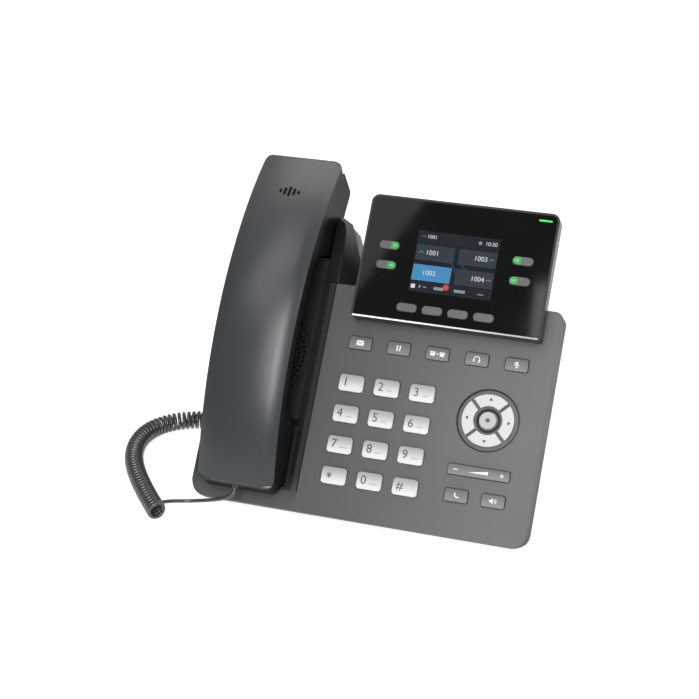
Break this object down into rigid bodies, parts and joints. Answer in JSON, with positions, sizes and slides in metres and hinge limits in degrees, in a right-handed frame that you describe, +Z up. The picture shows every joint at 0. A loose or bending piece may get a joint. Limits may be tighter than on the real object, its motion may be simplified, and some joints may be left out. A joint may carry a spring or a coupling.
{
  "type": "desk ip phone",
  "caption": "Desk telephone leaning on a rear stand: corded handset in a cradle at the left, colour display, dial and function keys, direction ring.",
  "frame": {"origin": "on the desk under the middle of the phone's footprint, cord left out", "axes": "+X to the user's right along the width, +Y away from the user, +Z up"},
  "size_m": [0.2704, 0.1697, 0.1836],
  "materials": {
    "front_shell": "fine satin texture, dark grey",
    "rear_shell": "fine matte texture, near black",
    "handset_shell": "satin, dark blue-grey",
    "display_frame": "satin dark rim",
    "display_back": "matte, near black",
    "display_window": "glossy smoked window",
    "lcd": "lit colour display",
    "dial_key": "satin silver",
    "function_key": "satin mid grey",
    "ok_key": "satin white",
    "display_key": "satin light grey",
    "key_rubber": "translucent silicone",
    "circuit_board": "green solder mask",
    "speaker": "black paper cone and frame",
    "socket_plastic": "moulded black",
    "cord_plug": "smoked moulded plug",
    "screw_steel": "zinc plated",
    "foot_rubber": "matte black",
    "hook_plastic": "moulded black",
    "cord": "satin black sleeve"
  },
  "bodies": {
    "base": {"upper_housing": "front_shell", "lower_housing": "rear_shell", "housing_screws": "screw_steel", "speaker": "speaker", "main_board": "circuit_board", "keypad_board": "circuit_board", "keypad_membrane": "key_rubber", "display_bezel": "display_frame", "display_back_cover": "display_back", "display_lens": "display_window", "lcd_panel": "lcd", "display_board": "circuit_board", "network_jacks": "socket_plastic", "cord_jacks": "socket_plastic", "power_jack": "socket_plastic", "stand": "rear_shell", "rubber_feet": "foot_rubber", "base_plug": "cord_plug", "cord_coil": "cord", "cord_lead": "cord", "cord_tail": "cord"},
    "handset": {"handset_outer_shell": "handset_shell", "handset_inner_shell": "handset_shell", "earpiece": "speaker", "handset_microphone": "key_rubber", "handset_plug": "cord_plug"},
    "hook_lever": {"hook_lever": "hook_plastic"},
    "volume_key": {"volume_key": "function_key"},
    "key_ok": {"key_ok": "ok_key"},
    "key_1": {"key_1": "dial_key"},
    "key_2": {"key_2": "dial_key"},
    "key_3": {"key_3": "dial_key"},
    "key_4": {"key_4": "dial_key"},
    "key_5": {"key_5": "dial_key"},
    "key_6": {"key_6": "dial_key"},
    "key_7": {"key_7": "dial_key"},
    "key_8": {"key_8": "dial_key"},
    "key_9": {"key_9": "dial_key"},
    "key_star": {"key_star": "dial_key"},
    "key_0": {"key_0": "dial_key"},
    "key_hash": {"key_hash": "dial_key"},
    "key_message": {"key_message": "function_key"},
    "key_hold": {"key_hold": "function_key"},
    "key_transfer": {"key_transfer": "function_key"},
    "key_headset": {"key_headset": "function_key"},
    "key_mute": {"key_mute": "function_key"},
    "key_send": {"key_send": "function_key"},
    "key_speaker": {"key_speaker": "function_key"},
    "key_right": {"key_right": "function_key"},
    "key_up": {"key_up": "function_key"},
    "key_left": {"key_left": "function_key"},
    "key_down": {"key_down": "function_key"},
    "soft_key_1": {"soft_key_1": "display_key"},
    "soft_key_2": {"soft_key_2": "display_key"},
    "soft_key_3": {"soft_key_3": "display_key"},
    "soft_key_4": {"soft_key_4": "display_key"},
    "line_key_left_1": {"line_key_left_1": "display_key"},
    "line_key_left_2": {"line_key_left_2": "display_key"},
    "line_key_right_1": {"line_key_right_1": "display_key"},
    "line_key_right_2": {"line_key_right_2": "display_key"}
  },
  "joints": [
    {"name": "handset_lift", "type": "slide", "parent": "base", "child": "handset", "axis": [0, -0.7976, 0.6032], "range_m": [0, 0.07]},
    {"name": "hook_rock", "type": "hinge", "parent": "base", "child": "hook_lever", "pos_m": [-0.071, 0.03839, 0.10308], "axis": [1, 0, 0], "range_deg": [0, 6.1]},
    {"name": "volume_tip", "type": "hinge", "parent": "base", "child": "volume_key", "pos_m": [0.0701, -0.04113, 0.03772], "axis": [0, 0.6032, 0.7976], "range_deg": [-2.2, 2.2], "stiffness_Nm_per_rad": 0.05},
    {"name": "key_ok_press", "type": "slide", "parent": "base", "child": "key_ok", "axis": [0, 0.7976, -0.6032], "range_m": [0, 0.001], "stiffness_N_per_m": 200, "springref_m": -0.001},
    {"name": "key_1_press", "type": "slide", "parent": "base", "child": "key_1", "axis": [0, 0.7976, -0.6032], "range_m": [0, 0.001], "stiffness_N_per_m": 200, "springref_m": -0.001},
    {"name": "key_2_press", "type": "slide", "parent": "base", "child": "key_2", "axis": [0, 0.7976, -0.6032], "range_m": [0, 0.001], "stiffness_N_per_m": 200, "springref_m": -0.001},
    {"name": "key_3_press", "type": "slide", "parent": "base", "child": "key_3", "axis": [0, 0.7976, -0.6032], "range_m": [0, 0.001], "stiffness_N_per_m": 200, "springref_m": -0.001},
    {"name": "key_4_press", "type": "slide", "parent": "base", "child": "key_4", "axis": [0, 0.7976, -0.6032], "range_m": [0, 0.001], "stiffness_N_per_m": 200, "springref_m": -0.001},
    {"name": "key_5_press", "type": "slide", "parent": "base", "child": "key_5", "axis": [0, 0.7976, -0.6032], "range_m": [0, 0.001], "stiffness_N_per_m": 200, "springref_m": -0.001},
    {"name": "key_6_press", "type": "slide", "parent": "base", "child": "key_6", "axis": [0, 0.7976, -0.6032], "range_m": [0, 0.001], "stiffness_N_per_m": 200, "springref_m": -0.001},
    {"name": "key_7_press", "type": "slide", "parent": "base", "child": "key_7", "axis": [0, 0.7976, -0.6032], "range_m": [0, 0.001], "stiffness_N_per_m": 200, "springref_m": -0.001},
    {"name": "key_8_press", "type": "slide", "parent": "base", "child": "key_8", "axis": [0, 0.7976, -0.6032], "range_m": [0, 0.001], "stiffness_N_per_m": 200, "springref_m": -0.001},
    {"name": "key_9_press", "type": "slide", "parent": "base", "child": "key_9", "axis": [0, 0.7976, -0.6032], "range_m": [0, 0.001], "stiffness_N_per_m": 200, "springref_m": -0.001},
    {"name": "key_star_press", "type": "slide", "parent": "base", "child": "key_star", "axis": [0, 0.7976, -0.6032], "range_m": [0, 0.001], "stiffness_N_per_m": 200, "springref_m": -0.001},
    {"name": "key_0_press", "type": "slide", "parent": "base", "child": "key_0", "axis": [0, 0.7976, -0.6032], "range_m": [0, 0.001], "stiffness_N_per_m": 200, "springref_m": -0.001},
    {"name": "key_hash_press", "type": "slide", "parent": "base", "child": "key_hash", "axis": [0, 0.7976, -0.6032], "range_m": [0, 0.001], "stiffness_N_per_m": 200, "springref_m": -0.001},
    {"name": "key_message_press", "type": "slide", "parent": "base", "child": "key_message", "axis": [0, 0.7976, -0.6032], "range_m": [0, 0.001], "stiffness_N_per_m": 200, "springref_m": -0.001},
    {"name": "key_hold_press", "type": "slide", "parent": "base", "child": "key_hold", "axis": [0, 0.7976, -0.6032], "range_m": [0, 0.001], "stiffness_N_per_m": 200, "springref_m": -0.001},
    {"name": "key_transfer_press", "type": "slide", "parent": "base", "child": "key_transfer", "axis": [0, 0.7976, -0.6032], "range_m": [0, 0.001], "stiffness_N_per_m": 200, "springref_m": -0.001},
    {"name": "key_headset_press", "type": "slide", "parent": "base", "child": "key_headset", "axis": [0, 0.7976, -0.6032], "range_m": [0, 0.001], "stiffness_N_per_m": 200, "springref_m": -0.001},
    {"name": "key_mute_press", "type": "slide", "parent": "base", "child": "key_mute", "axis": [0, 0.7976, -0.6032], "range_m": [0, 0.001], "stiffness_N_per_m": 200, "springref_m": -0.001},
    {"name": "key_send_press", "type": "slide", "parent": "base", "child": "key_send", "axis": [0, 0.7976, -0.6032], "range_m": [0, 0.001], "stiffness_N_per_m": 200, "springref_m": -0.001},
    {"name": "key_speaker_press", "type": "slide", "parent": "base", "child": "key_speaker", "axis": [0, 0.7976, -0.6032], "range_m": [0, 0.001], "stiffness_N_per_m": 200, "springref_m": -0.001},
    {"name": "key_right_press", "type": "slide", "parent": "base", "child": "key_right", "axis": [0, 0.7976, -0.6032], "range_m": [0, 0.001], "stiffness_N_per_m": 200, "springref_m": -0.001},
    {"name": "key_up_press", "type": "slide", "parent": "base", "child": "key_up", "axis": [0, 0.7976, -0.6032], "range_m": [0, 0.001], "stiffness_N_per_m": 200, "springref_m": -0.001},
    {"name": "key_left_press", "type": "slide", "parent": "base", "child": "key_left", "axis": [0, 0.7976, -0.6032], "range_m": [0, 0.001], "stiffness_N_per_m": 200, "springref_m": -0.001},
    {"name": "key_down_press", "type": "slide", "parent": "base", "child": "key_down", "axis": [0, 0.7976, -0.6032], "range_m": [0, 0.001], "stiffness_N_per_m": 200, "springref_m": -0.001},
    {"name": "soft_key_1_press", "type": "slide", "parent": "base", "child": "soft_key_1", "axis": [0, 0.7976, -0.6032], "range_m": [0, 0.0008], "stiffness_N_per_m": 200, "springref_m": -0.001},
    {"name": "soft_key_2_press", "type": "slide", "parent": "base", "child": "soft_key_2", "axis": [0, 0.7976, -0.6032], "range_m": [0, 0.0008], "stiffness_N_per_m": 200, "springref_m": -0.001},
    {"name": "soft_key_3_press", "type": "slide", "parent": "base", "child": "soft_key_3", "axis": [0, 0.7976, -0.6032], "range_m": [0, 0.0008], "stiffness_N_per_m": 200, "springref_m": -0.001},
    {"name": "soft_key_4_press", "type": "slide", "parent": "base", "child": "soft_key_4", "axis": [0, 0.7976, -0.6032], "range_m": [0, 0.0008], "stiffness_N_per_m": 200, "springref_m": -0.001},
    {"name": "line_key_left_1_press", "type": "slide", "parent": "base", "child": "line_key_left_1", "axis": [0, 0.7976, -0.6032], "range_m": [0, 0.0008], "stiffness_N_per_m": 200, "springref_m": -0.001},
    {"name": "line_key_left_2_press", "type": "slide", "parent": "base", "child": "line_key_left_2", "axis": [0, 0.7976, -0.6032], "range_m": [0, 0.0008], "stiffness_N_per_m": 200, "springref_m": -0.001},
    {"name": "line_key_right_1_press", "type": "slide", "parent": "base", "child": "line_key_right_1", "axis": [0, 0.7976, -0.6032], "range_m": [0, 0.0008], "stiffness_N_per_m": 200, "springref_m": -0.001},
    {"name": "line_key_right_2_press", "type": "slide", "parent": "base", "child": "line_key_right_2", "axis": [0, 0.7976, -0.6032], "range_m": [0, 0.0008], "stiffness_N_per_m": 200, "springref_m": -0.001}
  ],
  "couplings": [
    {"joint": "hook_rock", "follows": "handset_lift", "rad_per_m": 1.5}
  ]
}
